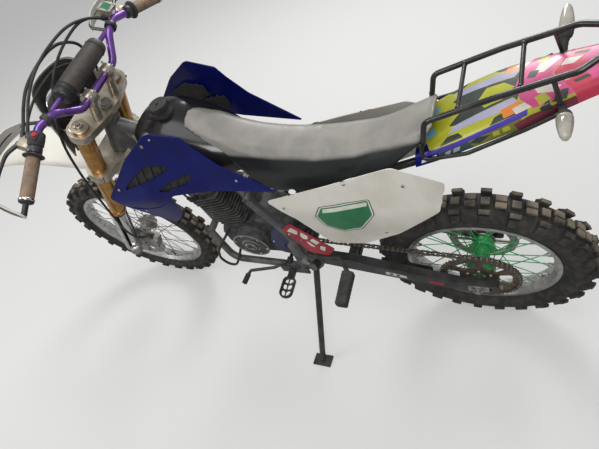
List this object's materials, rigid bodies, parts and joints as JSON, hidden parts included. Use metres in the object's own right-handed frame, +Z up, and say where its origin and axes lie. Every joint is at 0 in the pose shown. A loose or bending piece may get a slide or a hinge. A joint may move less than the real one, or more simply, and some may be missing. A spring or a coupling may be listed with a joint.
{
  "type": "dirt bike",
  "caption": "Dirt bike with knobby tyres, inverted fork, air-cooled engine, long saddle, tube rack and side stand, parked leaning.",
  "frame": {"origin": "on the ground at the middle of the parked bike's box", "axes": "+X forward, +Y to the bike's left, the side it leans to, +Z up"},
  "size_m": [2.202, 0.8634, 1.3348],
  "materials": {
    "tyre": "moulded rubber, dusty",
    "rim_silver": "satin",
    "green": "gloss",
    "steel": "satin",
    "chrome": "polished",
    "dark_steel": "worn",
    "frame_grey": "satin",
    "black_metal": "satin",
    "cast_black": "matt",
    "alloy": "satin",
    "gold": "anodised",
    "champagne": "anodised",
    "purple": "anodised gloss",
    "blue": "gloss",
    "white": "satin",
    "red": "satin",
    "black_gloss": "gloss",
    "black_rubber": "matt",
    "seat_cover": "soft sheen",
    "tail_print": "satin",
    "red_lens": "clear",
    "clear_lens": "clear",
    "taupe": "soft",
    "brown_rubber": "matt"
  },
  "bodies": {
    "chassis": {"frame_main": "frame_grey", "subframe": "black_metal", "swingarm": "black_metal", "spindles": "steel", "chain": "dark_steel", "chain_guide": "black_rubber", "shock_absorber": "steel", "engine_case": "cast_black", "engine_cylinder": "alloy", "engine_head": "alloy", "sprocket_cover": "cast_black", "intake": "black_rubber", "exhaust_header": "steel", "muffler": "steel", "breather_hose": "black_rubber", "fuel_tank": "black_gloss", "fuel_cap": "black_gloss", "seat": "seat_cover", "shrouds": "blue", "side_panels": "white", "frame_guards": "red", "tail_fender": "tail_print", "rack": "black_metal", "tail_light": "red_lens", "turn_signals": "clear_lens", "plate_bracket": "black_metal", "footpegs": "black_metal", "passenger_pegs": "black_rubber", "foot_levers": "black_metal", "kick_starter": "steel", "rear_caliper": "alloy"},
    "rear_wheel": {"rear_tyre": "tyre", "rear_rim": "rim_silver", "rear_hub": "green", "rear_spokes": "green", "rear_sprocket": "dark_steel", "rear_disc": "steel"},
    "front_end": {"triple_clamp_top": "champagne", "triple_clamp_bottom": "champagne", "fork_outer_tubes": "gold", "fork_inner_tubes": "chrome", "fork_lugs": "alloy", "fork_guards": "alloy", "front_axle": "steel", "front_caliper": "alloy", "front_fender": "white", "handlebar": "purple", "bar_pad": "taupe", "grips": "brown_rubber", "levers": "black_metal", "hand_guards": "white", "headlamp_mask": "white", "headlamp": "clear_lens", "brake_hose": "black_rubber"},
    "front_wheel": {"front_tyre": "tyre", "front_rim": "rim_silver", "front_hub": "alloy", "front_spokes": "steel", "front_disc": "steel"},
    "side_stand": {"side_stand": "black_metal"}
  },
  "joints": [
    {"name": "steering", "type": "hinge", "parent": "chassis", "child": "front_end", "pos_m": [0.66343, -0.1551, 0.33494], "axis": [-0.4571, 0.1671, 0.8736], "range_deg": [-40, 40]},
    {"name": "front_wheel_spin", "type": "hinge", "parent": "front_end", "child": "front_wheel", "pos_m": [0.691, -0.15243, 0.34886], "axis": [0, 0.9822, -0.1879], "continuous": true},
    {"name": "rear_wheel_spin", "type": "hinge", "parent": "chassis", "child": "rear_wheel", "pos_m": [-0.749, -0.15505, 0.33519], "axis": [0, 0.9822, -0.1879], "continuous": true},
    {"name": "side_stand_fold", "type": "hinge", "parent": "chassis", "child": "side_stand", "pos_m": [-0.237, 0.01745, 0.43326], "axis": [0.1563, 0.936, 0.3153], "range_deg": [0, 98]}
  ]
}
